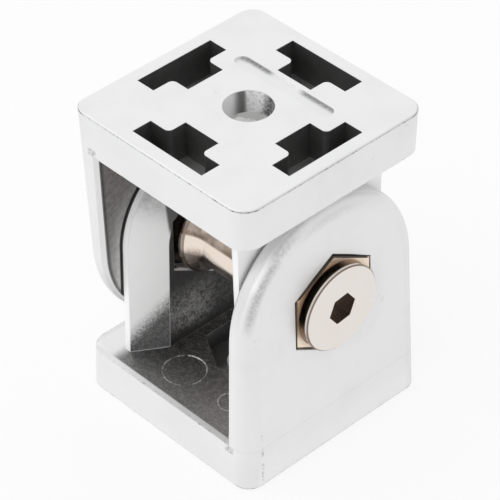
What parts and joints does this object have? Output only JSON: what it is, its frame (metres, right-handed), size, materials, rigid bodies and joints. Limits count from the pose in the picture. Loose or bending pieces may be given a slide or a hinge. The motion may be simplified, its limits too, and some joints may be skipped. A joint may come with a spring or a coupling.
{
  "type": "profile pivot joint",
  "caption": "Clamping pivot joint for square aluminium profile: identical interlocked cast halves, each a bolted end plate with an outer and an inner ear, on screws through the pivot.",
  "frame": {"origin": "centre of the lower mounting face", "axes": "+Z from the lower mounting face to the upper one, +X along the pivot towards the lower half's outer ear, +Y across the pivot"},
  "size_m": [0.0426, 0.04, 0.058],
  "materials": {
    "casting": "bright tumbled zinc die casting, fine grain",
    "plated_steel": "satin nickel plate, slightly warm"
  },
  "bodies": {
    "lower": {"lower_half": "casting", "right_pivot_seat": "plated_steel", "left_thrust_insert": "plated_steel", "flared_sleeve": "plated_steel", "right_clamp_screw": "plated_steel", "left_clamp_screw": "plated_steel"},
    "upper": {"upper_half": "casting", "left_pivot_seat": "plated_steel", "right_thrust_insert": "plated_steel"}
  },
  "joints": [
    {"name": "pivot", "type": "hinge", "parent": "lower", "child": "upper", "pos_m": [0, 0, 0.029], "axis": [1, 0, 0], "range_deg": [-90, 90]}
  ]
}
